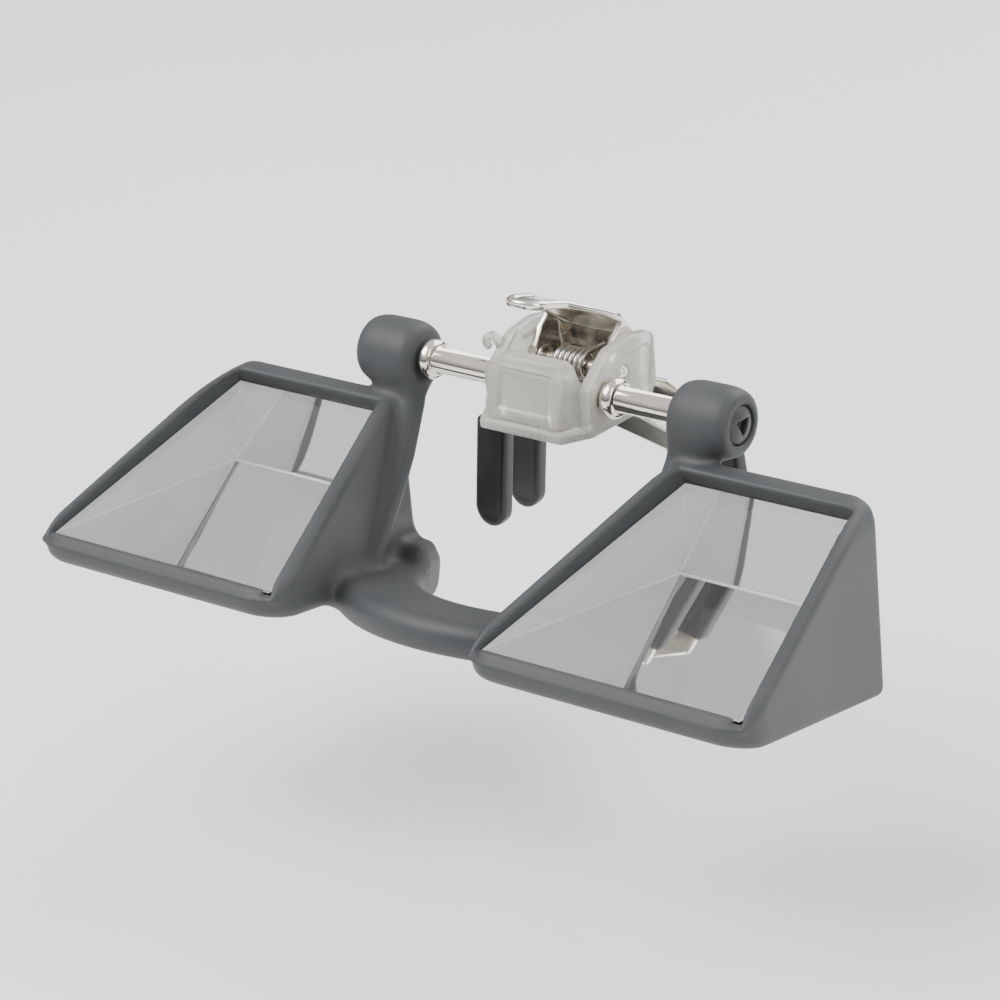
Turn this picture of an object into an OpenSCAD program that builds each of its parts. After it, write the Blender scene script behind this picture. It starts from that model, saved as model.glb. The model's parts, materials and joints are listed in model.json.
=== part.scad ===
// Clip-on flip-up prism lenses for spectacles.
// X runs along the flip axle, -Y is forwards (away from the wearer's face), +Z is up.
// The origin is the middle of the gap between the front and rear gripping sleeves.
// Sub-parts are drawn about the flip axle and moved to that origin by at_hinge().

/* [Place] */
// Height of the flip axle above the middle of the gripping gap
axle_height = 15; // [14:0.5:17]
// Distance of the flip axle in front of the middle of the gripping gap
axle_forward = 9.2; // [9:0.1:9.6]

/* [Prism housings] */
// Wall between the prism and the outside at each side
side_rim = 2.0; // [1.6:0.1:2.4]
// Radius of the front outer corner of the plate
corner_outer = 5; // [3:0.5:6]
// Radius of the front inner corner of the plate
corner_inner = 6; // [4:0.5:7]
// Width of the latch that holds a prism
latch_w = 12.4; // [11.6:0.2:13]
// Clearance between a prism and its pocket
prism_gap = 0.1; // [0.05:0.05:0.15]

/* [Bridge and arms] */
// Half width of the nose arch
arch_in_x = 13.6; // [13:0.2:14.2]
// Depth of the nose arch along the plate
arch_in_v = 15; // [13:0.5:16]
// Outer half width of the bridge band
arch_out_x = 23; // [22:0.5:24]
// Outer depth of the bridge band along the plate
arch_out_v = 25; // [24:0.5:26]
// Thickness of the bridge band
bridge_t = 4; // [3.5:0.1:4.5]
// Thickness of an arm, front to back
arm_t = 3.2; // [2.8:0.1:3.6]

/* [Flip axle] */
// Distance from the middle to the centre of a hub
hub_x = 21.3; // [21:0.1:21.6]
// Radius of a hub
hub_r = 3.9; // [3.6:0.1:4.2]
// Length of a hub
hub_l = 7.8; // [7.4:0.2:8.2]
// Radius of the axle rod
axle_r = 0.9; // [0.8:0.05:1]
// Outer radius of the axle tubes
tube_r = 1.4; // [1.3:0.05:1.5]
// Radius of the collar on each axle tube
collar_r = 2.25; // [2:0.05:2.4]

/* [Clip] */
// Half width between the cheeks of the clip body
cheek_in = 5.6; // [5.4:0.1:5.8]
// Thickness of a cheek
cheek_t = 1.6; // [1.4:0.1:1.8]
// Thickness of the claws' steel strip
strip_t = 0.7; // [0.6:0.05:0.8]
// Width of the claws' prongs
prong_w = 2.7; // [2.4:0.1:2.9]
// Width of a rubber sleeve
sleeve_w = 4.4; // [4.2:0.1:4.6]
// Thickness of a rubber sleeve
sleeve_t = 1.9; // [1.7:0.05:1.95]
// Length of a rubber sleeve
sleeve_l = 13.4; // [12:0.2:14]
// Outward lean of the prongs, in degrees
prong_lean = 6.7; // [5:0.1:8]
// Distance between the front and rear prongs
jaw_pitch = 6.1; // [6:0.05:6.3]
// Radius of the jaw pin
jaw_pin_r = 0.75; // [0.7:0.05:0.8]

/* [Hidden] */
$fn = 48;

run_fit = 0.04;                 // radial clearance of a turning fit
push_fit = 0.02;                // radial clearance of a fit that does not turn
fixing_x = 3.2;                 // cover screws and claw rivets, either side of the middle
cover_screw_y = -3.6;
claw_rivet_y = 2.8;
rivet_r = 0.6;
lever_rivet_x = 2.4;            // lever rivets, either side of the middle
lever_rivet_y = 9.0;
soft_grey = "#4e5154";
sleeve_grey = "#333335";
chrome = "#cfcac2";
milky = [0.84, 0.83, 0.79, 0.85];
glass = [0.86, 0.88, 0.88, 0.45];

// Profile of the prism, in the plane across the axle: front, top and rear corners.
prism_f = [-32.0, -15.0];
prism_t = [-4.6, -5.4];
prism_r = [-3.8, -23.4];
// Plate: outer face from the rear edge to the front edge.
plate_rear = [-3.0, -25.6];
plate_front = [-33.6, -17.5];
plate_len = norm(plate_front - plate_rear);
plate_tilt = atan2(plate_front[1] - plate_rear[1], plate_rear[0] - plate_front[0]);
// Top bar of the housing.
bar_top = [-4.3, -3.4];
bar_rear = [-2.7, -5.2];

// Inner and outer side planes of a housing, both upright, as x over a (y, z) point.
wall_in_x = 19.8;               // inner side plane at the axle, and its slope along y
wall_in_slope = 0.241;
wall_out_x = 43.0;              // outer side plane at the axle, and its slope along y
wall_out_slope = -0.172;
function wall_in(p) = wall_in_x + wall_in_slope*p[0];
function wall_out(p) = wall_out_x + wall_out_slope*p[0];

window_rim = 0.3;               // lip that holds the prism round its exit window
latch_x = 24.4;                 // middle of a prism latch
latch_seat_z = -23.75;          // roof of the latch's seat
jaw_pin_at = [4.4, 1.0];        // jaw pin, across the axle
front_prong_y = 6.1;
rear_prong_y = front_prong_y + jaw_pitch;
prong_foot_x = 15.0;            // centre of a prong at its foot
prong_foot_z = -21.9;
lever_w = 2*(cheek_in - 0.3);
flange_z = -4.0;                // underside of the clip body
flange_t = 1.2;

module at_hinge() translate([0, -axle_forward, axle_height]) children();

// Solid between two side planes over a profile in the (y, z) plane.
// in_by and out_by move the planes away from the housing's own side walls.
module between_walls(profile, in_by, out_by) {
    n = len(profile);
    inner = [for (p = profile) [wall_in(p) + in_by, p[0], p[1]]];
    outer = [for (p = profile) [wall_out(p) - out_by, p[0], p[1]]];
    polyhedron(concat(inner, outer),
        concat([[for (i = [0:n - 1]) i]], [[for (i = [n - 1:-1:0]) n + i]],
               [for (i = [0:n - 1]) [i, n + i, n + (i + 1) % n, (i + 1) % n]]));
}

// Corner points of an arc, for outlines.
function arc(c, r, a0, a1, n = 8) =
    [for (i = [0:n]) c + r*[cos(a0 + (a1 - a0)*i/n), sin(a0 + (a1 - a0)*i/n)]];

// ---------------------------------------------------------------- prisms
module prism_shape(grow) {
    f = prism_f + grow*[-1.6, 0.1];
    t = prism_t + grow*[0.3, 1.3];
    r = prism_r + grow*[1.0, -1.2];
    between_walls([f, r, t], side_rim - grow, side_rim - grow);
}
module left_prism() color(glass) at_hinge() prism_shape(0);
module right_prism() color(glass) at_hinge() mirror([1, 0, 0]) prism_shape(0);

// ---------------------------------------------------------------- flip frame
module plate_frame() translate([0, plate_rear[0], plate_rear[1]]) rotate([-plate_tilt, 0, 0])
    rotate([0, 0, 180]) mirror([1, 0, 0]) children();

// Outline of one housing's plate, in the plate's own plane: x across, y towards the front.
module plate_outline() {
    xi = wall_in(plate_front);
    xo = wall_out(plate_front);
    polygon(concat([[0, -6], [60, -6]],
        arc([xo - corner_outer, plate_len - corner_outer], corner_outer, 10, 90),
        arc([xi + corner_inner, plate_len - corner_inner], corner_inner, 90, 170)));
}
module housing() {
    difference() {
        intersection() {
            between_walls([plate_front, plate_rear, plate_rear + [1.2, 0.9], bar_rear + [0.6, 0],
                           bar_rear + [0.2, 1.0], bar_top, bar_top - [1.6, 0.2],
                           plate_front + [-0.2, 2.6]], 0, 0);
            plate_frame() translate([0, 0, -30]) linear_extrude(60) plate_outline();
        }
        // entry window, open above the prism
        entry = [-0.33, 0.95]*6;
        between_walls([prism_f - [0, 1], prism_t - [0, 1], prism_t + entry, prism_f + entry],
                      side_rim - prism_gap, side_rim - prism_gap);
        // exit window, open behind the prism
        between_walls([prism_t + [-1, -window_rim], prism_r + [-1, 2*window_rim],
                       prism_r + [8, 2*window_rim], prism_t + [8, -window_rim]],
                      side_rim + window_rim, side_rim + window_rim);
    }
}
// The bridge is a band round the nose arch, with a thicker foot at each end.
foot_t = 5.8;                   // thickness of a foot
foot_in_x = 16.0;               // inner end of a foot at the plate's rear edge
foot_l = 6.0;                   // length of a foot along the plate
module bridge() plate_frame() translate([0, 0, -1]) intersection() {
    union() {
        linear_extrude(bridge_t) band_outline();
        linear_extrude(foot_t) intersection() {
            band_outline();
            for (s = [0, 1]) mirror([s, 0]) translate([arch_in_x - 1, 0]) square([foot_l, foot_l]);
        }
    }
    linear_extrude(foot_t) difference() {
        translate([-arch_out_x - 1, 0]) square([2*arch_out_x + 2, arch_out_v + 1]);
        // the band's inner edge slants outwards to the plate's rear corner
        for (s = [0, 1]) mirror([s, 0]) polygon([[0, -1], [foot_in_x + 0.4, -1], [foot_in_x, 0],
                                                 [arch_in_x - 0.4, foot_l], [0, foot_l]]);
    }
}
module band_outline() difference() {
    ellipse(arch_out_x, arch_out_v);
    ellipse(arch_in_x, arch_in_v);
}
// Ellipse about the middle of the rear edge line.
module ellipse(a, b) polygon([for (i = [0:63]) [a*cos(i*360/64), b*sin(i*360/64)]]);

// Side view of an arm, from the hub down to the bridge: a band of even thickness.
arm_line = [[-0.5, 0], [-2.2, -4.5], [-5.2, -9.4], [-9.0, -14.2], [-13.0, -19.0], [-15.2, -20.5]];
module arm_profile() {
    n = len(arm_line);
    function side(i) = let (a = arm_line[max(i - 1, 0)], b = arm_line[min(i + 1, n - 1)],
        d = (b - a)/norm(b - a)) [-d[1], d[0]]*arm_t/2;
    polygon(concat([for (i = [0:n - 1]) arm_line[i] + side(i)],
                   [for (i = [n - 1:-1:0]) arm_line[i] - side(i)]));
}
// Front view of an arm: it narrows a little as it goes down.
module arm_front() polygon([[17.4, 2], [22.6, 2], [22.6, -2], [21.6, -8], [19.6, -24],
                            [15.4, -24], [16.2, -12], [17.0, -4]]);
module arm() intersection() {
    rotate([90, 0, 90]) linear_extrude(40) arm_profile();
    translate([0, 20, 0]) rotate([90, 0, 0]) linear_extrude(60) arm_front();
}
module hub_solid() translate([hub_x - hub_l/2, 0, 0]) rotate([0, 90, 0]) rotate_extrude()
    intersection() { square([hub_r, hub_l]); translate([0, hub_l/2]) circle(4.9); }

tube_room = 4;                  // length of the room for the axle tube's end
plug_r = 2.18;                  // radius of a hub plug
plug_gap = 0.04;                // clearance of a hub plug in its seat
plug_depth = 1.9;
module flip_side() {
    difference() {
        union() {
            housing();
            arm();
            hub_solid();
        }
        // bore for the axle and seat for the hub plug
        translate([10, 0, 0]) rotate([0, 90, 0]) cylinder(r = axle_r + push_fit, h = 20);
        translate([hub_x + hub_l/2 - plug_depth, 0, 0]) rotate([0, 90, 0])
            cylinder(r = plug_r + plug_gap, h = plug_depth + 1);
        // room in the arm for the end of the axle tube and its collar
        translate([hub_x - hub_l/2 - tube_room, 0, 0]) rotate([0, 90, 0])
            cylinder(r = collar_r + 0.3, h = tube_room);
    }
}
module flip_frame() color(soft_grey) at_hinge() {
    difference() {
        union() {
            flip_side();
            mirror([1, 0, 0]) flip_side();
            bridge();
        }
        prism_shape(prism_gap);
        mirror([1, 0, 0]) prism_shape(prism_gap);
        // seats of the prism latches, cut through the rear edge of the plates
        for (s = [-1, 1]) translate([s*latch_x - latch_w/2 - 0.2, -7.2, -28])
            cube([latch_w + 0.4, 8, 28 + latch_seat_z]);
    }
}

// ---------------------------------------------------------------- latches
// Spring latch that holds a prism in its housing, set in the plate's rear edge.
module latch() {
    translate([latch_x - latch_w/2, 0, 0]) rotate([90, 0, 90]) linear_extrude(latch_w)
        polygon([[-6.9, -24.0], [-6.9, -25.3], [-5.6, -25.2], [-5.0, -26.3], [-2.3, -27.0],
                 [-1.6, -26.4], [-1.9, -24.4], [-2.9, -23.7], [-3.3, -24.6]]);
}
module left_prism_latch() color(soft_grey) at_hinge() latch();
module right_prism_latch() color(soft_grey) at_hinge() mirror([1, 0, 0]) latch();

// ---------------------------------------------------------------- axle
module along_x(x0) translate([x0, 0, 0]) rotate([0, 90, 0]) children();
axle_half = 23.0;
module axle() color(chrome) at_hinge() along_x(-axle_half) cylinder(r = axle_r, h = 2*axle_half);

tube_start = 4.4;
tube_end = 17.35;
// Both tubes are the same turned piece, fitted the same way round,
// so one has its collar at the clip body and the other at its hub.
module axle_tube(collar_at) difference() {
    union() {
        along_x(tube_start) cylinder(r = tube_r, h = tube_end - tube_start);
        along_x(collar_at) rotate_extrude() intersection() {
            translate([0, -0.85]) square([collar_r, 1.7]);
            circle(collar_r + 0.05);
        }
    }
    along_x(0) cylinder(r = axle_r + push_fit, h = 30);
}
module left_axle_tube() color(chrome) at_hinge() axle_tube(8.6);
module right_axle_tube() color(chrome) at_hinge() mirror([1, 0, 0]) axle_tube(16.4);

// Plug with a triangular socket that closes the outer end of a hub.
module hub_plug() difference() {
    along_x(hub_x + hub_l/2 - plug_depth + 0.1) rotate_extrude() intersection() {
        square([plug_r, plug_depth]);
        translate([0, -2.2]) circle(4.15);
    }
    along_x(hub_x + hub_l/2 - 0.9) linear_extrude(3) circle(1.25, $fn = 3);
}
module left_hub_plug() color(sleeve_grey) at_hinge() hub_plug();
module right_hub_plug() color(sleeve_grey) at_hinge() mirror([1, 0, 0]) hub_plug();

// ---------------------------------------------------------------- clip body
module cheek_profile() polygon(concat([[-2.6, -3.2], [-2.6, 1.2], [-0.6, 2.9], [1.6, 4.5]],
    [[5.4, 5.0]], arc([8.2, 3.3], 1.2, 80, 0, 6), [[9.3, -1.2], [8.2, -3.2]]));
module cheek() difference() {
    union() {
        translate([cheek_in, 0, 0]) rotate([90, 0, 90]) linear_extrude(cheek_t) cheek_profile();
        // bearing boss for the axle tube
        along_x(cheek_in) cylinder(r = 2.3, h = cheek_t + 0.2);
    }
    // shallow field inside a raised rim on the outer face
    translate([cheek_in + cheek_t - 0.5, 3.2, -1.8]) cube([2, 5.0, 5.0]);
    along_x(0) cylinder(r = tube_r + run_fit, h = 20);
    translate([0, jaw_pin_at[0], jaw_pin_at[1]]) along_x(0)
        cylinder(r = jaw_pin_r + push_fit, h = 20);
}
module flange_outline() polygon([[-5.5, -5.9], [5.5, -5.9], [7.4, -2.6], [7.4, 5.4], [6.6, 8.2],
                                 [-6.6, 8.2], [-7.4, 5.4], [-7.4, -2.6]]);
module clip_body() color(milky) at_hinge() difference() {
    union() {
        translate([0, 0, flange_z]) linear_extrude(flange_t) flange_outline();
        cheek();
        mirror([1, 0, 0]) cheek();
        // wall behind the front cover, cut away over the axle
        translate([-cheek_in - 0.5, -1.6, flange_z + 0.5]) cube([2*cheek_in + 1, 1.0, 4.0]);
        // open hook on the front of one cheek
        translate([-cheek_in - cheek_t - 0.5, -0.1, 3.6]) rotate([90, 0, 0]) hook();
    }
    along_x(-10) cylinder(r = tube_r + run_fit, h = 20);
    // slot at the rear for the jaw's bracket
    translate([-5.5, 4.9, flange_z - 1]) cube([11, 6, 3]);
    // room for the friction spring
    translate([-1.9, -1.8, flange_z + flange_t]) cube([3.8, 4, 5]);
    for (x = [-fixing_x, fixing_x]) {
        translate([x, claw_rivet_y, flange_z - 1]) rivet_hole();
        translate([x, cover_screw_y, flange_z - 1]) cylinder(r = 0.55, h = 3);
    }
}
module hook() translate([0, 0, -0.6]) linear_extrude(1.2) difference() {
    circle(1.15);
    circle(0.5);
    translate([-0.3, -2]) square([2, 1.8]);
}

// Front cover: a chamfered box with a recessed panel, closed over the axle.
module cover_plan(inset) polygon([[-4.7 + inset, -5.3 + inset], [4.7 - inset, -5.3 + inset],
    [5.5 - inset, -4.0], [5.5 - inset, -1.75], [-5.5 + inset, -1.75], [-5.5 + inset, -4.0]]);
module cover_side() polygon([[-5.3, -2.75], [-5.3, -1.0], [-4.0, 4.2], [-2.4, 4.4], [-1.65, 3.4],
                             [-1.65, -2.75]]);
module front_cover() color(milky) at_hinge() difference() {
    intersection() {
        translate([0, 0, -2.75]) linear_extrude(8) cover_plan(0);
        translate([-8, 0, 0]) rotate([90, 0, 90]) linear_extrude(16) cover_side();
        // sloping shoulders
        rotate([90, 0, 0]) translate([0, 0, -2]) linear_extrude(10)
            polygon([[-5.6, -3], [5.6, -3], [5.6, 1.6], [4.4, 4.5], [-3.4, 4.5], [-5.6, 2.4]]);
    }
    // hollow behind the front wall
    translate([-3.9, -3.5, -1.9]) cube([7.8, 4.5, 4.6]);
    // recessed panel on the sloping front face
    translate([-3.4, -5.3, -1.4]) rotate([-14.0, 0, 0]) translate([0, -0.6, 0])
        cube([6.8, 0.95, 4.4]);
    along_x(-10) cylinder(r = tube_r + 0.4, h = 20);
    for (x = [-fixing_x, fixing_x]) translate([x, cover_screw_y, -4]) cylinder(r = 0.42, h = 3.1);
}
module small_screw() {
    cylinder(r = 0.4, h = 2.9);
    difference() {
        translate([0, 0, -0.55]) cylinder(r = 1.0, h = 0.55);
        translate([-0.15, -2, -1]) cube([0.3, 4, 0.7]);
    }
}
module cover_screws() color(chrome) at_hinge() for (x = [-fixing_x, fixing_x])
    translate([x, cover_screw_y, flange_z]) small_screw();

// Bent leaf that grips the axle rod and holds the frame where it is put.
module friction_spring() color(chrome) at_hinge() {
    translate([-1.6, 0, 0]) rotate([90, 0, 90]) linear_extrude(3.2) difference() {
        circle(1.35);
        circle(axle_r + push_fit);
        translate([-0.6, -3]) square([1.2, 2.4]);
    }
    for (s = [-1, 1]) translate([-1.6, s*0.9 - 0.3, flange_z + flange_t]) cube([3.2, 0.6, 2.05]);
}

// ---------------------------------------------------------------- claws
// Front view of a claw's two legs and prongs, hanging from a bar at height top_z.
knee_z = -8.2;                  // where a leg bends into its prong, above the sleeve
bar_h = 2.2;                    // height of the bar that joins the two legs
function prong_x(z) = prong_foot_x - (z - prong_foot_z)*tan(prong_lean);
module claw_front(top_z, w) for (s = [0, 1]) mirror([s, 0])
    polygon([[-0.1, top_z], [-0.1, top_z - bar_h], [3.4, top_z - bar_h],
             [prong_x(knee_z) - w/2, knee_z],
             [prong_x(prong_foot_z + 2) - w/2, prong_foot_z + 2],
             [prong_foot_x - w/4, prong_foot_z + 1.3],
             [prong_foot_x + w/4, prong_foot_z + 1.3],
             [prong_x(prong_foot_z + 2) + w/2, prong_foot_z + 2],
             [prong_x(knee_z + 2) + w/2, knee_z + 2], [6.2, top_z]]);
module in_front_view(y) translate([0, y + strip_t/2, 0]) rotate([90, 0, 0])
    linear_extrude(strip_t) children();

front_plate_z = flange_z - strip_t;
module front_claw() color(chrome) at_hinge() difference() {
    union() {
        in_front_view(front_prong_y) claw_front(flange_z - push_fit, prong_w);
        // plate riveted under the clip body
        translate([-4.6, -1.4, front_plate_z]) cube([9.2, front_prong_y + 1.4, strip_t - push_fit]);
    }
    for (x = [-fixing_x, fixing_x]) translate([x, claw_rivet_y, front_plate_z - 1]) rivet_hole();
}
module rivet_hole() cylinder(r = rivet_r + push_fit, h = 3);
module rivet(h) {
    translate([0, 0, -0.5]) cylinder(r = 1.05, h = 0.5);
    translate([0, 0, -0.5]) cylinder(r = rivet_r, h = h + 0.9);
    translate([0, 0, h]) cylinder(r = 1.0, h = 0.4);
}
module claw_rivets() color(chrome) at_hinge() for (x = [-fixing_x, fixing_x])
    translate([x, claw_rivet_y, front_plate_z]) rivet(strip_t + flange_t);

rear_plate_z = -2.6;
module rear_claw() color(chrome) at_hinge() difference() {
    union() {
        in_front_view(rear_prong_y) claw_front(rear_plate_z, prong_w);
        // bracket that runs forward to the thumb lever
        translate([-4.2, 6.9, rear_plate_z - strip_t])
            cube([8.4, rear_prong_y - 6.9, strip_t]);
    }
    for (x = [-lever_rivet_x, lever_rivet_x]) translate([x, lever_rivet_y, rear_plate_z - 2])
        rivet_hole();
}
module lever_rivets() color(chrome) at_hinge() for (x = [-lever_rivet_x, lever_rivet_x])
    translate([x, lever_rivet_y, rear_plate_z - strip_t]) rivet(2*strip_t + push_fit);

// ---------------------------------------------------------------- thumb lever
lever_t = 0.7;
// Side view of the lever's sheet, from its foot on the rear claw to its tip.
lever_line = [[10.4, rear_plate_z + 0.37], [7.9, rear_plate_z + 0.37], [7.5, -1.2], [8.2, 1.4],
              [7.9, 4.1], [6.4, 6.1], [4.2, 7.6], [1.4, 8.9], [-1.6, 9.9], [-4.6, 10.6]];
module strip_profile(line, t) {
    n = len(line);
    function side(i) = let (a = line[max(i - 1, 0)], b = line[min(i + 1, n - 1)],
        d = (b - a)/norm(b - a)) [-d[1], d[0]]*t/2;
    polygon(concat([for (i = [0:n - 1]) line[i] + side(i)],
                   [for (i = [n - 1:-1:0]) line[i] - side(i)]));
}
// Plan of the lever: full width at the back, a rounded tongue at the front.
module lever_plan() polygon(concat([[-lever_w/2, 12], [-lever_w/2, 5.6], [-2.7, 0.5]],
    arc([0, -2.6], 2.5, 180, 360, 14), [[2.7, 0.5], [lever_w/2, 5.6], [lever_w/2, 12]]));
module thumb_lever() color(chrome) at_hinge() difference() {
    union() {
        intersection() {
            translate([-10, 0, 0]) rotate([90, 0, 90]) linear_extrude(20)
                strip_profile(lever_line, lever_t);
            translate([0, 0, -5]) linear_extrude(20) lever_plan();
        }
        // ears that hang on the jaw pin
        for (x = [-lever_w/2, lever_w/2 - 0.8]) translate([x, 0, 0]) rotate([90, 0, 90])
            linear_extrude(0.8) polygon([[2.9, 0.2], [4.4, -0.9], [6.0, -0.6], [8.0, 0.6],
                [8.1, 3.9], [6.5, 5.9], [4.6, 4.4], [3.2, 2.4]]);
        // stiffening rib under the tongue
        translate([-0.6, 0, 0]) rotate([90, 0, 90]) linear_extrude(1.2)
            polygon([[4.2, 7.5], [4.4, 6.2], [3.4, 5.9], [-1.0, 8.9], [-1.6, 9.8]]);
    }
    translate([-10, jaw_pin_at[0], jaw_pin_at[1]]) rotate([0, 90, 0])
        cylinder(r = jaw_pin_r + run_fit, h = 20);
    for (x = [-lever_rivet_x, lever_rivet_x]) translate([x, lever_rivet_y, rear_plate_z - 1])
        rivet_hole();
}
jaw_pin_half = cheek_in + cheek_t - 0.6;
pin_clip_x = 4.0;               // clips sit on the pin just inside the lever's ears
module jaw_pin() color(chrome) at_hinge() translate([-jaw_pin_half, jaw_pin_at[0], jaw_pin_at[1]])
    rotate([0, 90, 0]) cylinder(r = jaw_pin_r, h = 2*jaw_pin_half);
module jaw_pin_clips() color(chrome) at_hinge() for (s = [-1, 1])
    translate([s*(pin_clip_x + 0.2) - 0.2, jaw_pin_at[0], jaw_pin_at[1]]) rotate([0, 90, 0])
        difference() {
            cylinder(r = 1.35, h = 0.4);
            translate([0, 0, -1]) cylinder(r = jaw_pin_r, h = 3);
        }

// Torsion spring round the jaw pin: a coil with one leg on the lever and one on the body.
spring_turns = 5.25;
spring_wire = 0.28;
spring_r = 1.45;
spring_pitch = 0.68;
steps_per_turn = 12;
coil_steps = steps_per_turn*spring_turns;
coil_half = spring_pitch*spring_turns/2;
// The coil starts at its front, where one leg comes up from the body, and ends on top,
// where the other leg runs back to the lever.
function coil_point(i) = let (a = 180 - 360*i/steps_per_turn)
    [-coil_half + spring_pitch*i/steps_per_turn,
     jaw_pin_at[0] + spring_r*cos(a), jaw_pin_at[1] + spring_r*sin(a)];
spring_path = concat([[-coil_half, jaw_pin_at[0] - spring_r, flange_z + flange_t + 0.4]],
    [for (i = [0:coil_steps]) coil_point(i)],
    [[coil_half, 7.4, jaw_pin_at[1] + spring_r]]);
function unit(v) = v/norm(v);
module wire(path, r, sides = 8) {
    n = len(path);
    function way(i) = unit(path[min(i + 1, n - 1)] - path[max(i - 1, 0)]);
    function across(i) = unit(cross(way(i), [1, 0, 0]));
    rings = [for (i = [0:n - 1]) for (k = [0:sides - 1])
        let (u = across(i), v = cross(way(i), u), a = 360*k/sides)
        path[i] + r*(cos(a)*u + sin(a)*v)];
    polyhedron(rings, concat([[for (k = [sides - 1:-1:0]) k]],
        [[for (k = [0:sides - 1]) (n - 1)*sides + k]],
        [for (i = [0:n - 2]) for (k = [0:sides - 1])
            [i*sides + k, i*sides + (k + 1) % sides, (i + 1)*sides + (k + 1) % sides,
             (i + 1)*sides + k]]));
}
module jaw_spring() color(chrome) at_hinge() wire(spring_path, spring_wire);

// ---------------------------------------------------------------- rubber sleeves
module sleeve(y) translate([prong_foot_x, y, prong_foot_z]) rotate([0, -prong_lean, 0])
    difference() {
        translate([0, sleeve_t/2, 0]) rotate([90, 0, 0]) linear_extrude(sleeve_t) union() {
            translate([0, sleeve_w/2]) circle(sleeve_w/2);
            translate([-sleeve_w/2, sleeve_w/2]) square([sleeve_w, sleeve_l - sleeve_w/2]);
        }
        translate([-prong_w/2 - 0.1, -strip_t/2 - 0.03, 1.0])
            cube([prong_w + 0.2, strip_t + 0.06, sleeve_l]);
    }
module front_left_sleeve() color(sleeve_grey) at_hinge() sleeve(front_prong_y);
module front_right_sleeve() color(sleeve_grey) at_hinge() mirror([1, 0, 0]) sleeve(front_prong_y);
module rear_left_sleeve() color(sleeve_grey) at_hinge() sleeve(rear_prong_y);
module rear_right_sleeve() color(sleeve_grey) at_hinge() mirror([1, 0, 0]) sleeve(rear_prong_y);

flip_frame();
left_prism();
right_prism();
left_prism_latch();
right_prism_latch();
axle();
left_axle_tube();
right_axle_tube();
left_hub_plug();
right_hub_plug();
clip_body();
front_cover();
cover_screws();
friction_spring();
front_claw();
claw_rivets();
front_left_sleeve();
front_right_sleeve();
jaw_pin();
jaw_pin_clips();
jaw_spring();
thumb_lever();
rear_claw();
lever_rivets();
rear_left_sleeve();
rear_right_sleeve();
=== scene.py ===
"""Clip-on flip-up prism lenses: the looks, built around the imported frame."""

import json
import math

import bmesh
import bpy
import numpy as np
import openvdb
from mathutils import Matrix, Vector


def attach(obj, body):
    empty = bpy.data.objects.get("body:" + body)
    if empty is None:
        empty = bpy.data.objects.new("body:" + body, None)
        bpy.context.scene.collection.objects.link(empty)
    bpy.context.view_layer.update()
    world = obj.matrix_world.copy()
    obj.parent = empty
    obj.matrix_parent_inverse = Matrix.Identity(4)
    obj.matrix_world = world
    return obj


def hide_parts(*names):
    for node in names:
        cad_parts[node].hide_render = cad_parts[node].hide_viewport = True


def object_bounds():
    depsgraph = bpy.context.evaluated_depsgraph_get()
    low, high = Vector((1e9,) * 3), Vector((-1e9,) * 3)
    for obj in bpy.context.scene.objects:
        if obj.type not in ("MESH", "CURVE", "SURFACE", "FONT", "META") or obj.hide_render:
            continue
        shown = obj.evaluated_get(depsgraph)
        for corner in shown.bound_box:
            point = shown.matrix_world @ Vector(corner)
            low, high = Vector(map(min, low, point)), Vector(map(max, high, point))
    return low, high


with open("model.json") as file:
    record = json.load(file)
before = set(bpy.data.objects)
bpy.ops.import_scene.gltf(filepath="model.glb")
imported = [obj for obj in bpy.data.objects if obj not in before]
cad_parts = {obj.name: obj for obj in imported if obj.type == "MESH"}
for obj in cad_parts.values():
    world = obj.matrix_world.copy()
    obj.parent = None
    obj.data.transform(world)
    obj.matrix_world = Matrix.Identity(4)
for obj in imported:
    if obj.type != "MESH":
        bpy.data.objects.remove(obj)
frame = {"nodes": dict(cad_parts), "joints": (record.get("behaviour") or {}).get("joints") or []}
cad_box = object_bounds()
NODES = frame["nodes"]
MM = 0.001

# The flip axle's middle and the jaw pin's middle, from the joints.
JOINTS = {j["name"]: j for j in frame["joints"]}
HINGE = np.array(JOINTS["flip_hinge"]["pos_m"])/MM
JAW_PIN = np.array(JOINTS["jaw_hinge"]["pos_m"])/MM


# ---------------------------------------------------------------- shader groups
def new_group(name, inputs, outputs):
    tree = bpy.data.node_groups.new(name, "ShaderNodeTree")
    for label, kind, value in inputs:
        socket = tree.interface.new_socket(label, in_out="INPUT", socket_type=kind)
        socket.default_value = value
    for label, kind in outputs:
        tree.interface.new_socket(label, in_out="OUTPUT", socket_type=kind)
    return tree, tree.nodes.new("NodeGroupInput"), tree.nodes.new("NodeGroupOutput")


def grain_group():
    """Fine moulded or rubbed grain: a height and a slow mask of shade over the piece."""
    tree, given, out = new_group(
        "surface_grain",
        [("Grain Scale", "NodeSocketFloat", 4000.0), ("Patch Scale", "NodeSocketFloat", 90.0)],
        [("Height", "NodeSocketFloat"), ("Patches", "NodeSocketFloat")])
    where = tree.nodes.new("ShaderNodeTexCoord")
    fine = tree.nodes.new("ShaderNodeTexNoise")
    fine.inputs["Detail"].default_value = 3.0
    slow = tree.nodes.new("ShaderNodeTexNoise")
    slow.inputs["Detail"].default_value = 4.0
    tree.links.new(where.outputs["Object"], fine.inputs["Vector"])
    tree.links.new(where.outputs["Object"], slow.inputs["Vector"])
    tree.links.new(given.outputs["Grain Scale"], fine.inputs["Scale"])
    tree.links.new(given.outputs["Patch Scale"], slow.inputs["Scale"])
    tree.links.new(fine.outputs["Fac"], out.inputs["Height"])
    tree.links.new(slow.outputs["Fac"], out.inputs["Patches"])
    return tree


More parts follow.
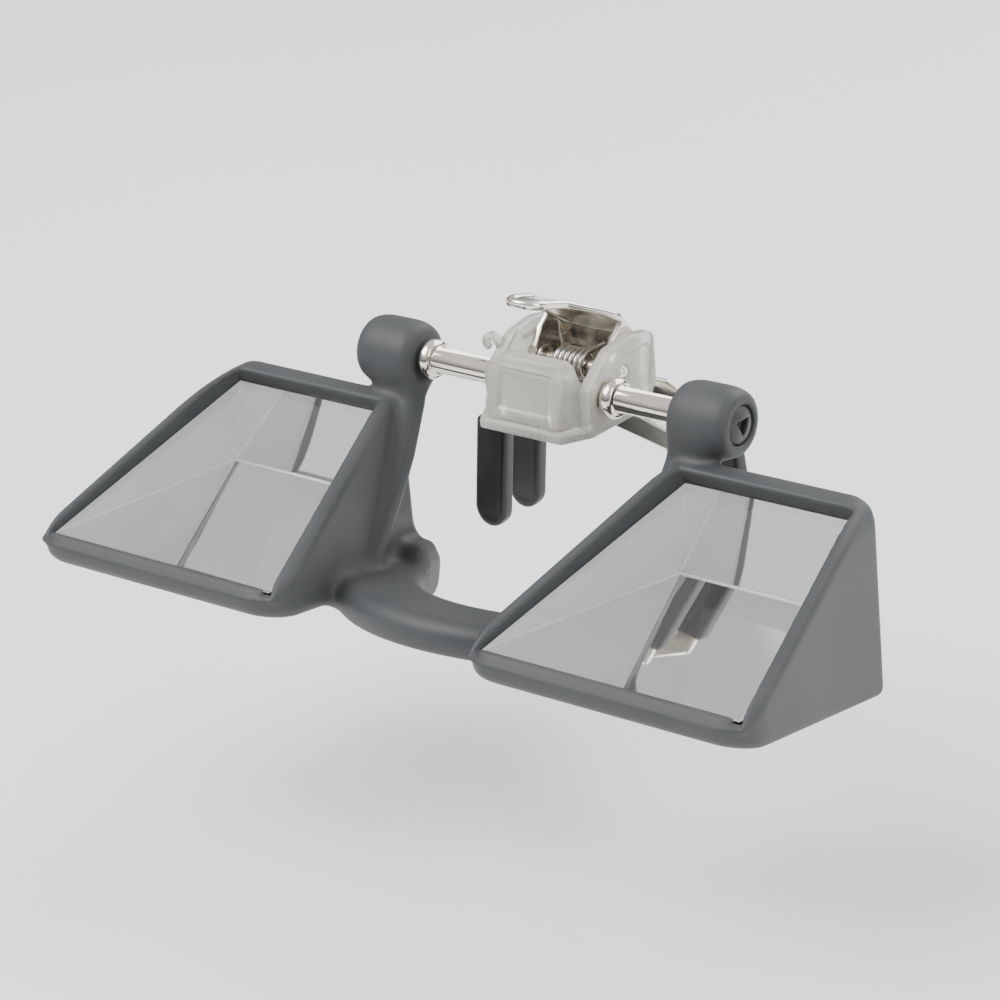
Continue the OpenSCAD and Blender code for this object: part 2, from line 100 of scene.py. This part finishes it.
def two_tone_group():
    """A colour between two tones, and a roughness between two limits, by a mask."""
    tree, given, out = new_group(
        "two_tones",
        [("Mask", "NodeSocketFloat", 0.5), ("Tone A", "NodeSocketColor", (0.1, 0.1, 0.1, 1)),
         ("Tone B", "NodeSocketColor", (0.2, 0.2, 0.2, 1)), ("Rough A", "NodeSocketFloat", 0.4),
         ("Rough B", "NodeSocketFloat", 0.6)],
        [("Color", "NodeSocketColor"), ("Roughness", "NodeSocketFloat")])
    spread = tree.nodes.new("ShaderNodeMapRange")
    spread.inputs["From Min"].default_value = 0.35
    spread.inputs["From Max"].default_value = 0.65
    tones = tree.nodes.new("ShaderNodeMix")
    tones.data_type = "RGBA"
    rough = tree.nodes.new("ShaderNodeMapRange")
    tree.links.new(given.outputs["Mask"], spread.inputs["Value"])
    tree.links.new(spread.outputs["Result"], tones.inputs["Factor"])
    tree.links.new(given.outputs["Tone A"], tones.inputs["A"])
    tree.links.new(given.outputs["Tone B"], tones.inputs["B"])
    tree.links.new(spread.outputs["Result"], rough.inputs["Value"])
    tree.links.new(given.outputs["Rough A"], rough.inputs["To Min"])
    tree.links.new(given.outputs["Rough B"], rough.inputs["To Max"])
    tree.links.new(tones.outputs["Result"], out.inputs["Color"])
    tree.links.new(rough.outputs["Result"], out.inputs["Roughness"])
    return tree


GRAIN = grain_group()
TONES = two_tone_group()


def surface(name, tones, rough, grain=4000.0, patch=90.0, bump=0.1, depth=0.00002, **plain):
    """A material whose colour and roughness drift between two values, with a fine grain."""
    made = bpy.data.materials.new(name)
    made.use_nodes = True
    tree = made.node_tree
    shader = tree.nodes["Principled BSDF"]
    grained = tree.nodes.new("ShaderNodeGroup")
    grained.node_tree = GRAIN
    grained.inputs["Grain Scale"].default_value = grain
    grained.inputs["Patch Scale"].default_value = patch
    toned = tree.nodes.new("ShaderNodeGroup")
    toned.node_tree = TONES
    toned.inputs["Tone A"].default_value = (*tones[0], 1)
    toned.inputs["Tone B"].default_value = (*tones[1], 1)
    toned.inputs["Rough A"].default_value, toned.inputs["Rough B"].default_value = rough
    relief = tree.nodes.new("ShaderNodeBump")
    relief.inputs["Strength"].default_value = bump
    relief.inputs["Distance"].default_value = depth
    tree.links.new(grained.outputs["Patches"], toned.inputs["Mask"])
    tree.links.new(toned.outputs["Color"], shader.inputs["Base Color"])
    tree.links.new(toned.outputs["Roughness"], shader.inputs["Roughness"])
    tree.links.new(grained.outputs["Height"], relief.inputs["Height"])
    tree.links.new(relief.outputs["Normal"], shader.inputs["Normal"])
    for socket, value in plain.items():
        shader.inputs[socket.replace("_", " ")].default_value = value
    return made


SOFT_TOUCH = surface("soft_touch_grey", [(0.040, 0.043, 0.046), (0.050, 0.053, 0.056)],
                     (0.50, 0.60), grain=9000.0, bump=0.25, Specular_IOR_Level=0.4)
LATCH_GREY = surface("latch_grey", [(0.046, 0.048, 0.050), (0.058, 0.060, 0.062)], (0.40, 0.5),
                     grain=7000.0, bump=0.15)
PLUG_GREY = surface("plug_grey", [(0.025, 0.026, 0.028), (0.036, 0.036, 0.038)], (0.42, 0.5))
RUBBER = surface("sleeve_rubber", [(0.011, 0.010, 0.010), (0.018, 0.017, 0.017)], (0.36, 0.48),
                 grain=6000.0, bump=0.2)
NICKEL = surface("bright_nickel", [(0.84, 0.79, 0.71), (0.74, 0.69, 0.62)], (0.05, 0.13),
                 patch=260.0, bump=0.02, Metallic=1.0)
STRIP = surface("nickel_strip", [(0.84, 0.80, 0.74), (0.74, 0.70, 0.64)], (0.10, 0.22),
                patch=300.0, bump=0.05, Metallic=1.0)
SPRING_STEEL = surface("spring_steel", [(0.55, 0.53, 0.50), (0.44, 0.42, 0.40)], (0.18, 0.32),
                       Metallic=1.0)
MILKY = surface("milky_plastic", [(0.86, 0.85, 0.80), (0.74, 0.73, 0.68)], (0.16, 0.30),
                patch=160.0, bump=0.04, Transmission_Weight=0.68, IOR=1.49,
                Subsurface_Weight=0.2, Subsurface_Scale=0.0015)
POLISHED = surface("polished_glass", [(0.97, 0.98, 0.98), (0.95, 0.97, 0.97)], (0.0, 0.008),
                   bump=0.0, Transmission_Weight=1.0, IOR=1.52)
GROUND = surface("ground_glass", [(0.80, 0.80, 0.79), (0.88, 0.88, 0.87)], (0.45, 0.6),
                 grain=12000.0, patch=70.0, bump=0.2)
SILVERED = surface("silvered_face", [(0.93, 0.93, 0.92), (0.90, 0.90, 0.89)], (0.02, 0.04),
                   bump=0.0, Metallic=1.0)


# ---------------------------------------------------------------- meshes
def place(name, vertices, faces, material, body, replaced, slot):
    """A finished piece from points in millimetres in the shared frame."""
    mesh = bpy.data.meshes.new(name)
    mesh.from_pydata([tuple(v) for v in np.asarray(vertices)*MM], [], [list(f) for f in faces])
    mesh.validate()
    return settle(bpy.data.objects.new(name, mesh), material, body, replaced)


def settle(piece, material, body, replaced):
    if piece.name not in bpy.context.scene.collection.objects:
        bpy.context.scene.collection.objects.link(piece)
    if material is not None:
        piece.data.materials.clear()
        piece.data.materials.append(material)
    piece.data.shade_smooth()
    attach(piece, body)
    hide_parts(*replaced)
    return piece


def skin(field, low, high, step):
    """Points and quads of the surface where field is zero, in millimetres."""
    axes = [np.arange(a, b + step, step) for a, b in zip(low, high)]
    points, quads = mesh_of(field(*np.meshgrid(*axes, indexing="ij")), low, step)
    for _ in range(4):
        points = pulled(field, points, step)
    return points, quads


def pulled(field, points, step):
    """Points moved along the field's slope on to its zero surface."""
    x, y, z = points.T
    d = 0.02
    here = field(x, y, z)
    slope = np.stack([field(x + d, y, z) - field(x - d, y, z),
                      field(x, y + d, z) - field(x, y - d, z),
                      field(x, y, z + d) - field(x, y, z - d)], 1)/(2*d)
    size = np.maximum((slope**2).sum(1), 0.25)
    move = slope*(here/size)[:, None]
    reach = np.maximum(np.linalg.norm(move, axis=1), 1e-9)
    return points - 0.8*move*np.minimum(1, 0.4*step/reach)[:, None]


def mesh_of(values, low, step):
    grid = openvdb.FloatGrid(step*4)
    grid.copyFromArray(np.clip(values, -step*4, step*4).astype(np.float32))
    points, quads = grid.convertToQuads(0.0)
    points = points.astype(float)*step + np.array(low)
    return points, facing_out(points, quads)


def facing_out(points, quads):
    a, b, c, d = (points[quads[:, i]] for i in range(4))
    volume = ((a*np.cross(b, c)).sum() + (a*np.cross(c, d)).sum())
    return quads if volume > 0 else quads[:, ::-1]


def merged(node):
    """The CAD node's mesh with its loose triangles joined, in millimetres."""
    source = bmesh.new()
    source.from_mesh(NODES[node].data)
    bmesh.ops.remove_doubles(source, verts=source.verts, dist=0.00000002)
    bmesh.ops.recalc_face_normals(source, faces=source.faces)
    points = np.array([v.co for v in source.verts])/MM
    triangles = np.array([[v.index for v in f.verts] for f in source.faces])
    source.free()
    return points, triangles


def softened(node, step, reach, added=None):
    """The CAD node with its edges rounded: its distance field, blurred over reach steps.
    A field given as added is joined on before the blur."""
    points, triangles = merged(node)
    low = points.min(0) - 6*step
    size = np.ceil((points.max(0) - low)/step).astype(int) + 7
    grid = openvdb.FloatGrid.createLevelSetFromPolygons(
        ((points - low)/step).astype(np.float32), triangles=triangles.astype(np.uint32),
        transform=openvdb.createLinearTransform(1.0), halfWidth=5.0)
    values = np.full(tuple(size), 5.0, np.float32)
    grid.copyToArray(values)
    if added is not None:
        cells = [low[i] + step*np.arange(size[i]) - HINGE[i] for i in range(3)]
        values = np.minimum(values, added(*np.meshgrid(*cells, indexing="ij"))/step)
    for _ in range(reach):
        for axis in range(3):
            values = (np.roll(values, 1, axis) + 2*values + np.roll(values, -1, axis))/4
    return mesh_of(values*step, low, step)


def lathe(profile, middle, segments=64):
    """Points and quads of a closed profile of (along x, radius) turned about middle's x axis."""
    n = len(profile)
    turn = np.arange(segments)*2*math.pi/segments
    rings = [(x, r*math.cos(a), r*math.sin(a)) for a in turn for x, r in profile]
    quads = [(s*n + i, s*n + (i + 1) % n, (s + 1) % segments*n + (i + 1) % n,
              (s + 1) % segments*n + i) for s in range(segments) for i in range(n)]
    points, quads = np.array(rings) + np.array(middle), np.array(quads)
    return points, facing_out(points, quads)


def sweep(path, radius, sides=14):
    """A round wire along path, closed at both ends."""
    path = np.array(path, float)
    way = np.gradient(path, axis=0)
    way /= np.linalg.norm(way, axis=1)[:, None]
    u = np.cross(way, [1.0, 0, 0])
    u /= np.linalg.norm(u, axis=1)[:, None]
    v = np.cross(way, u)
    turn = np.arange(sides)*2*math.pi/sides
    rings = path[:, None] + radius*(np.cos(turn)[None, :, None]*u[:, None]
                                    + np.sin(turn)[None, :, None]*v[:, None])
    n = len(path)
    points = np.concatenate([rings.reshape(-1, 3), path[:1], path[-1:]])
    faces = [(i*sides + k, i*sides + (k + 1) % sides, (i + 1)*sides + (k + 1) % sides,
              (i + 1)*sides + k) for i in range(n - 1) for k in range(sides)]
    ends = [((k + 1) % sides, k, n*sides) for k in range(sides)]
    ends += [((n - 1)*sides + k, (n - 1)*sides + (k + 1) % sides, n*sides + 1)
             for k in range(sides)]
    return points, faces + ends


def row_group():
    """Copies of the object's own mesh set out in a straight row."""
    tree = bpy.data.node_groups.new("copies_in_a_row", "GeometryNodeTree")
    for label, kind in (("Geometry", "NodeSocketGeometry"), ("Copies", "NodeSocketInt"),
                        ("Start", "NodeSocketVector"), ("Step", "NodeSocketVector"),
                        ("Material", "NodeSocketMaterial")):
        tree.interface.new_socket(label, in_out="INPUT", socket_type=kind)
    tree.interface.new_socket("Geometry", in_out="OUTPUT", socket_type="NodeSocketGeometry")
    given, out = tree.nodes.new("NodeGroupInput"), tree.nodes.new("NodeGroupOutput")
    line = tree.nodes.new("GeometryNodeMeshLine")
    copies = tree.nodes.new("GeometryNodeInstanceOnPoints")
    real = tree.nodes.new("GeometryNodeRealizeInstances")
    coat = tree.nodes.new("GeometryNodeSetMaterial")
    tree.links.new(given.outputs["Copies"], line.inputs["Count"])
    tree.links.new(given.outputs["Start"], line.inputs["Start Location"])
    tree.links.new(given.outputs["Step"], line.inputs["Offset"])
    tree.links.new(line.outputs["Mesh"], copies.inputs["Points"])
    tree.links.new(given.outputs["Geometry"], copies.inputs["Instance"])
    tree.links.new(copies.outputs["Instances"], real.inputs["Geometry"])
    tree.links.new(real.outputs["Geometry"], coat.inputs["Geometry"])
    tree.links.new(given.outputs["Material"], coat.inputs["Material"])
    tree.links.new(coat.outputs["Geometry"], out.inputs["Geometry"])
    return tree


ROW = row_group()


def in_a_row(name, unit, start, step, material, body, replaced, copies=2):
    """One piece made of equal copies of unit, at start and every step after it (mm)."""
    points, faces = unit
    mesh = bpy.data.meshes.new(name)
    mesh.from_pydata([tuple(p) for p in np.asarray(points)*MM], [], [list(f) for f in faces])
    piece = bpy.data.objects.new(name, mesh)
    bpy.context.scene.collection.objects.link(piece)
    modifier = piece.modifiers.new("row", "NODES")
    modifier.node_group = ROW
    names = {i.name: i.identifier for i in ROW.interface.items_tree if i.in_out == "INPUT"}
    modifier[names["Copies"]] = copies
    modifier[names["Start"]] = tuple(np.array(start)*MM)
    modifier[names["Step"]] = tuple(np.array(step)*MM)
    modifier[names["Material"]] = material
    ready = piece.evaluated_get(bpy.context.evaluated_depsgraph_get())
    piece.data = bpy.data.meshes.new_from_object(ready)
    piece.modifiers.clear()
    settle(piece, None, body, replaced)


def upright(points_faces):
    """A lathed piece turned so that its x axis points up."""
    points, faces = points_faces
    return points @ np.array([[0, 0, 1.0], [0, 1, 0], [-1, 0, 0]]), faces


# ---------------------------------------------------------------- flip frame
# Lengths here are in millimetres about the flip axle, with x taken to one side.
HOUSING = {"front": (-33.6, -17.5), "rear": (-3.0, -25.6), "rim_front": (-33.8, -14.9),
           "rim_back": (-5.9, -3.6), "back_low": (-1.8, -24.7), "back_high": (-2.1, -5.2)}
TOP_Z = -3.4
SIDE_RIM = 2.0
PRISM = {"f": (-32.0, -15.0), "t": (-4.6, -5.4), "r": (-3.8, -23.4)}
POCKET_GAP = 0.16
SEAT_WALL = 0.8
ARM_LINE = [(-0.5, 0), (-2.2, -4.5), (-5.2, -9.4), (-9.0, -14.2), (-13.0, -19.0), (-15.2, -20.5)]
ARM_T = 3.2
HUB = {"x": 21.3, "r": 3.9, "half": 3.9, "ball": 4.9, "plug_depth": 1.9, "plug_r": 2.22}
ARCH = {"in_x": 13.6, "in_v": 15.0, "out_x": 23.0, "out_v": 25.0}
LATCH = {"x": 24.4, "half": 6.4, "roof": -23.75, "front": -7.2}


def wall_in(y):
    return 19.8 + 0.241*y


def wall_out(y):
    return 43.0 - 0.172*y


def rounded(r, *sides):
    """Inside every side, with edges of radius r."""
    grown = [s + r for s in sides]
    outside = np.sqrt(sum(np.maximum(g, 0)**2 for g in grown))
    inside = np.minimum(np.maximum.reduce(grown), 0)
    return outside + inside - r


def blended(a, b, k):
    """Union with a fillet of about k."""
    h = np.clip(0.5 + 0.5*(b - a)/k, 0, 1)
    return b*(1 - h) + a*h - k*h*(1 - h)


def carved(a, b, k=0.25):
    """a without b, with a slightly eased edge."""
    return -blended(-a, b, k)


def beyond(y, z, start, end):
    """Distance outside the line from start to end, whose outside is on its left."""
    run = np.subtract(end, start)/np.linalg.norm(np.subtract(end, start))
    return (y - start[0])*-run[1] + (z - start[1])*run[0]


def line_distance(y, z, points):
    nearest = np.full(y.shape, 1e9)
    for a, b in zip(points[:-1], points[1:]):
        a, d = np.array(a, float), np.subtract(b, a).astype(float)
        t = np.clip(((y - a[0])*d[0] + (z - a[1])*d[1])/(d @ d), 0, 1)
        nearest = np.minimum(nearest, np.hypot(y - a[0] - t*d[0], z - a[1] - t*d[1]))
    return nearest


def ellipse(x, v, a, b):
    k0 = np.sqrt((x/a)**2 + (v/b)**2) + 1e-9
    k1 = np.sqrt((x/a**2)**2 + (v/b**2)**2) + 1e-9
    return k0*(k0 - 1)/k1


def on_plate(y, z):
    """Distance along the plate from its rear edge, and height above its outer face."""
    rear, front = np.array(HOUSING["rear"]), np.array(HOUSING["front"])
    run = (front - rear)/np.linalg.norm(front - rear)
    y, z = y - rear[0], z - rear[1]
    return y*run[0] + z*run[1], y*run[1] - z*run[0]


def housing(x, y, z):
    h = HOUSING
    inner, outer = wall_in(y) - x, x - wall_out(y)
    front = beyond(y, z, h["front"], h["rim_front"])
    plan = rounded(5.0, front, inner, outer)
    top = rounded(3.2, z - TOP_Z, outer)
    bottom = beyond(y, z, h["rear"], h["front"])
    back = beyond(y, z, h["back_high"], h["back_low"])
    rim = beyond(y, z, h["rim_front"], h["rim_back"])
    return rounded(1.3, plan, top, bottom, back, rim)


def prism_faces(x, y, z):
    """Distance outside the prism's sides, its floor, its entry face and its exit face."""
    f, t, r = (PRISM[k] for k in "ftr")
    side = np.maximum(wall_in(y) + SIDE_RIM - x, x - wall_out(y) + SIDE_RIM)
    return side, beyond(y, z, r, f), beyond(y, z, f, t), beyond(y, z, t, r)


def seat(x, y, z):
    """A wall of even thickness round the prism, which backs up the rounded corners."""
    side, floor, entry, rear = prism_faces(x, y, z)
    return np.maximum.reduce([side - SEAT_WALL, floor - SEAT_WALL, entry, rear])


def windows(x, y, z):
    """The prism's pocket, and the openings over its entry face and behind its exit face."""
    f, t, r = (np.array(PRISM[k]) for k in "ftr")
    side, floor, entry, rear = prism_faces(x, y, z)
    pocket = np.maximum.reduce([side, floor, entry, rear]) - POCKET_GAP
    length = np.linalg.norm(t - f)
    along = ((y - f[0])*(t - f)[0] + (z - f[1])*(t - f)[1])/length
    over = np.maximum.reduce([side - POCKET_GAP, -along, along - length, -entry - 1, entry - 6])
    flare = np.clip(0.8*rear, 0, 1.3)
    behind = np.maximum.reduce([side + 0.3 - flare, z - t[1] + 0.3,
                                r[1] + 0.6 - flare - z, t[0] - 1 - y])
    return np.minimum(np.minimum(pocket, over), behind)


def flip_frame_field(x, y, z):
    x = np.abs(x)
    v, w = on_plate(y, z)
    hub = HUB
    rho = np.hypot(y, z)
    ball = np.sqrt((x - hub["x"])**2 + rho**2) - hub["ball"]
    knob = rounded(0.8, rho - hub["r"], np.abs(x - hub["x"]) - hub["half"], ball)
    arm_in = np.interp(-z, [-2, 4, 12, 24], [17.4, 17.0, 16.2, 15.4])
    arm_out = np.interp(-z, [-2, 2, 8, 24], [22.6, 22.6, 21.6, 19.6])
    arm = rounded(1.35, line_distance(y, z, ARM_LINE) - ARM_T/2, arm_in - x, x - arm_out)
    out = ellipse(x, v, ARCH["out_x"], ARCH["out_v"])
    into = -ellipse(x, v, ARCH["in_x"], ARCH["in_v"])
    band = rounded(1.8, out, into, np.abs(w - 1) - 2, -v)
    slant = np.minimum(16.0 - x - v*0.467, 6.0 - v)
    foot = rounded(1.7, out, into, slant, -v, v - 6, np.abs(w - 1.9) - 2.9)
    band = np.maximum(band, slant)
    pad = rounded(0.4, np.abs(x - 25.6) - 7.0, np.abs(v - 6.6) - 1.7, np.abs(w) - 0.5)
    body = blended(blended(housing(x, y, z), seat(x, y, z), 0.6), pad, 0.9)
    body = blended(body, blended(band, foot, 1.2), 2.0)
    body = blended(body, blended(arm, knob, 2.2), 1.2)
    body = carved(body, windows(x, y, z), 0.5)
    latch = np.maximum.reduce([np.abs(x - LATCH["x"]) - LATCH["half"], z - LATCH["roof"],
                               LATCH["front"] - y])
    plug = np.maximum(rho - hub["plug_r"], hub["x"] + hub["half"] - hub["plug_depth"] - x)
    bore = np.maximum(rho - 0.92, 12 - x)
    tube = np.maximum(rho - 2.55, x - hub["x"] + hub["half"])
    for cut in (latch, plug, bore, tube):
        body = carved(body, cut, 0.2)
    return body


def build_flip_frame():
    step = 0.36
    low, high = (-50, -36, -29), (50, 5, 5.2)
    points, quads = skin(flip_frame_field, low, high, step)
    place("flip_frame_skin", points + HINGE, quads, SOFT_TOUCH, "flip", ["flip_frame"],
          "soft_touch_plastic")


# ---------------------------------------------------------------- prisms
def build_prism(side):
    """The glass wedge: polished entry and exit faces, silvered floor, ground ends and arrises."""
    node = side + "_prism"
    points, triangles = merged(node)
    solid = bmesh.new()
    made = [solid.verts.new(p*MM) for p in points]
    for t in triangles:
        solid.faces.new([made[i] for i in t])
    solid.normal_update()
    bmesh.ops.dissolve_limit(solid, angle_limit=0.01, verts=solid.verts, edges=solid.edges)
    bmesh.ops.recalc_face_normals(solid, faces=solid.faces)
    bmesh.ops.bevel(solid, geom=list(solid.edges), offset=0.22*MM, segments=1, affect="EDGES")
    for face in solid.faces:
        n = face.normal
        if face.calc_area() < 6e-5 or abs(n.x) > 0.8:
            face.material_index = 1
        elif n.z < -0.5:
            face.material_index = 2
    mesh = bpy.data.meshes.new(node + "_glass")
    solid.to_mesh(mesh)
    solid.free()
    piece = bpy.data.objects.new(node + "_glass", mesh)
    settle(piece, None, "flip", [node])
    piece.data.shade_flat()
    for material in (POLISHED, GROUND, SILVERED):
        piece.data.materials.append(material)


# ---------------------------------------------------------------- softened CAD pieces
SOFTENED = [
    ("clip_body", 0.14, 3, MILKY, "clip", "milky_plastic"),
    ("front_cover", 0.12, 3, MILKY, "clip", "milky_plastic"),
    ("left_prism_latch", 0.14, 3, LATCH_GREY, "flip", "latch_plastic"),
    ("right_prism_latch", 0.14, 3, LATCH_GREY, "flip", "latch_plastic"),
    ("left_hub_plug", 0.1, 2, PLUG_GREY, "flip", "plug_plastic"),
    ("right_hub_plug", 0.1, 2, PLUG_GREY, "flip", "plug_plastic"),
    ("front_left_sleeve", 0.14, 9, RUBBER, "clip", "sleeve_rubber"),
    ("front_right_sleeve", 0.14, 9, RUBBER, "clip", "sleeve_rubber"),
    ("rear_left_sleeve", 0.14, 9, RUBBER, "jaw", "sleeve_rubber"),
    ("rear_right_sleeve", 0.14, 9, RUBBER, "jaw", "sleeve_rubber"),
    ("thumb_lever", 0.1, 2, STRIP, "jaw", "plated_strip"),
    ("front_claw", 0.12, 2, STRIP, "clip", "plated_strip"),
    ("rear_claw", 0.12, 2, STRIP, "jaw", "plated_strip"),
]
def tongue_rim(x, y, z):
    """Bead round the thumb lever's tongue, on top of its sheet (mm about the flip axle)."""
    turn = np.linspace(0, -math.pi, 13)
    outline = [(4.8, 6.2), (4.8, 5.5), (2.35, 0.5)]
    outline += [(2.1*math.cos(a), -2.55 + 2.1*math.sin(a)) for a in turn]
    outline += [(-2.35, 0.5), (-4.8, 5.5), (-4.8, 6.2)]
    height = np.interp([p[1] for p in outline], [-4.6, -1.6, 1.4, 4.2, 6.4],
                       [10.6, 9.9, 8.9, 7.6, 6.1]) + 0.25
    path = np.column_stack([outline, height])
    nearest = np.full(x.shape, 1e9)
    for a, b in zip(path[:-1], path[1:]):
        d = b - a
        t = np.clip(((x - a[0])*d[0] + (y - a[1])*d[1] + (z - a[2])*d[2])/(d @ d), 0, 1)
        nearest = np.minimum(nearest, (x - a[0] - t*d[0])**2 + (y - a[1] - t*d[1])**2
                             + (z - a[2] - t*d[2])**2)
    return np.sqrt(nearest) - 0.42


# CAD nodes whose shape is right and that take only a finish.
FINISHED = {"friction_spring": SPRING_STEEL}


def build_softened():
    for node, step, reach, material, body, slot in SOFTENED:
        added = tongue_rim if node == "thumb_lever" else None
        points, quads = softened(node, step*(1), reach, added)
        place(node + "_finished", points, quads, material, body, [node], slot)


def finish_cad_nodes():
    for node, material in FINISHED.items():
        NODES[node].data.materials.clear()
        NODES[node].data.materials.append(material)


# ---------------------------------------------------------------- turned pieces and springs
def rounded_bead(x, half, low, high, steps=8):
    """Profile points of a bead of radius high on a bar of radius low."""
    angles = np.linspace(0, math.pi, steps*2 + 1)
    return [(x - half*math.cos(a), low + (high - low)*math.sin(a)**0.7) for a in angles]


def build_turned():
    tube, bore = 1.4, 0.92
    for side, sign, collar in (("left", 1, 8.6), ("right", -1, 16.4)):
        profile = [(4.4, bore), (4.4, tube - 0.12), (4.52, tube)]
        profile += rounded_bead(collar, 0.85, tube, 2.25)
        if collar + 0.85 < 17.1:
            profile += [(17.23, tube), (17.35, tube - 0.12)]
        profile += [(17.35, bore)]
        name = side + "_axle_tube"
        points, quads = lathe([(sign*x, r) for x, r in profile], HINGE)
        place(name + "_turned", points, quads, NICKEL, "flip", [name], "plated_steel")
    rod = [(-23, 0.001), (-23, 0.75), (-22.85, 0.9), (22.85, 0.9), (23, 0.75), (23, 0.001)]
    place("axle_turned", *lathe(rod, HINGE, 40), NICKEL, "flip", ["axle"], "plated_steel")
    end, clip_at = 6.6, 4.2
    pin = [(-end, 0.001), (-end, 0.6), (-end + 0.15, 0.75), (end - 0.15, 0.75), (end, 0.6),
           (end, 0.001)]
    place("jaw_pin_turned", *lathe(pin, JAW_PIN, 40), NICKEL, "clip", ["jaw_pin"], "plated_steel")
    ring = [(-0.2, 0.77), (-0.2, 1.25), (-0.1, 1.35), (0.1, 1.35), (0.2, 1.25), (0.2, 0.77)]
    in_a_row("jaw_pin_clips_turned", lathe(ring, (0, 0, 0), 40), JAW_PIN - (clip_at, 0, 0),
             (2*clip_at, 0, 0), SPRING_STEEL, "clip", ["jaw_pin_clips"])


def rivet(length):
    """A rivet standing up: domed head below, a shank, and a flat formed head above."""
    dome = [(-0.5 + 0.5*(1 - math.cos(a)), 1.05*math.sin(a) + 0.001)
            for a in np.linspace(0, math.pi/2, 7)]
    upper = [(length, 0.6), (length, 0.9), (length + 0.1, 1.0), (length + 0.3, 1.0),
             (length + 0.4, 0.9), (length + 0.4, 0.001)]
    return upright(lathe(dome + [(0, 0.6)] + upper, (0, 0, 0), 32))


def screw():
    """A screw standing up: a round turned head below and a plain shank."""
    head = [(-0.45, 0.001), (-0.45, 0.2), (-0.55, 0.24), (-0.55, 0.85), (-0.45, 1.0), (-0.05, 1.0),
            (0, 0.95)]
    return upright(lathe(head + [(0, 0.4), (2.8, 0.4), (2.9, 0.3), (2.9, 0.001)], (0, 0, 0), 32))


def build_fasteners():
    under, strip = -4.0, 0.7
    in_a_row("claw_rivets_formed", rivet(strip + 1.2), HINGE + (-3.2, 2.8, under - strip),
             (6.4, 0, 0), NICKEL, "clip", ["claw_rivets"])
    in_a_row("lever_rivets_formed", rivet(2*strip + 0.02), HINGE + (-2.4, 9.0, -2.6 - strip),
             (4.8, 0, 0), NICKEL, "jaw", ["lever_rivets"])
    in_a_row("cover_screws_turned", screw(), HINGE + (-3.2, -3.6, under), (6.4, 0, 0),
             NICKEL, "clip", ["cover_screws"])


def build_jaw_spring():
    turns, radius, pitch, steps = 5.25, 1.45, 0.68, 28
    half, (_, y, z) = pitch*turns/2, JAW_PIN
    path = [(-half, y - radius, z - 3.4 + 0.4*k) for k in range(9)]
    for i in range(int(turns*steps) + 1):
        a = math.pi - 2*math.pi*i/steps
        path.append((-half + pitch*i/steps, y + radius*math.cos(a), z + radius*math.sin(a)))
    path += [(half, y + 0.3*k, z + radius) for k in range(1, 11)]
    place("jaw_spring_wound", *sweep(path, 0.28), SPRING_STEEL, "clip", ["jaw_spring"],
          "spring_steel")


# ---------------------------------------------------------------- stage
def build_stage():
    low, _ = cad_box
    bpy.ops.mesh.primitive_plane_add(size=6, location=(0, 0, low.z - 0.022))
    floor = bpy.context.object
    floor.name = "floor"
    floor.data.materials.append(surface("pale_floor", [(0.86, 0.86, 0.86), (0.9, 0.9, 0.9)],
                                        (0.7, 0.8), grain=400.0, patch=3.0, bump=0.02))


def softbox(name, towards, size, power, distance=0.6):
    """An area light that faces the clip from the direction given."""
    light = bpy.data.lights.new(name, "AREA")
    light.shape = "RECTANGLE"
    light.size, light.size_y = size
    light.energy = power
    lamp = bpy.data.objects.new(name, light)
    bpy.context.scene.collection.objects.link(lamp)
    back = Vector(towards).normalized()
    lamp.location = back*distance
    lamp.rotation_euler = (-back).to_track_quat("-Z", "Y").to_euler()


def build_lights():
    world = bpy.data.worlds.new("studio")
    bpy.context.scene.world = world
    world.use_nodes = True
    tree = world.node_tree
    where = tree.nodes.new("ShaderNodeTexCoord")
    split = tree.nodes.new("ShaderNodeSeparateXYZ")
    ramp = tree.nodes.new("ShaderNodeValToRGB")
    ramp.color_ramp.elements[0].position = 0.0
    ramp.color_ramp.elements[0].color = (0.10, 0.10, 0.10, 1)
    ramp.color_ramp.elements[1].position = 0.55
    ramp.color_ramp.elements[1].color = (1, 1, 1, 1)
    tree.links.new(where.outputs["Generated"], split.inputs["Vector"])
    tree.links.new(split.outputs["Z"], ramp.inputs["Fac"])
    tree.links.new(ramp.outputs["Color"], tree.nodes["Background"].inputs["Color"])
    tree.nodes["Background"].inputs["Strength"].default_value = 0.95
    softbox("key", (-0.5, -0.7, 1.1), (0.5, 0.4), 5.0)
    softbox("rear_fill", (0.3, 1.0, 0.7), (0.7, 0.5), 4.0)
    softbox("side_strip", (1.2, -0.2, 0.5), (0.15, 0.6), 1.6)


def build_camera():
    """The camera stands where the view does: its bearing, height and lean about the axle."""
    azimuth, elevation, lean = math.radians(39.5), math.radians(21.3), math.radians(4.8)
    distance = 0.4055
    camera = bpy.data.objects.new("camera", bpy.data.cameras.new("camera"))
    bpy.context.scene.collection.objects.link(camera)
    back = Vector((math.sin(azimuth)*math.cos(elevation), -math.cos(azimuth)*math.cos(elevation),
                   math.sin(elevation)))
    camera.location = Vector(HINGE*MM) + back*distance
    low, high = cad_box
    target = (low + high)/2 + Vector((0.001, -0.001, -0.001))
    turn = (target - camera.location).to_track_quat("-Z", "Y").to_matrix()
    roll = Matrix.Rotation(-lean, 3, "Z")
    camera.rotation_euler = (turn @ roll).to_euler()
    camera.data.lens = 136
    bpy.context.scene.camera = camera


build_stage()
build_lights()
build_camera()
build_flip_frame()
for hand in ("left", "right"):
    build_prism(hand)
build_softened()
build_turned()
build_fasteners()
build_jaw_spring()
finish_cad_nodes()
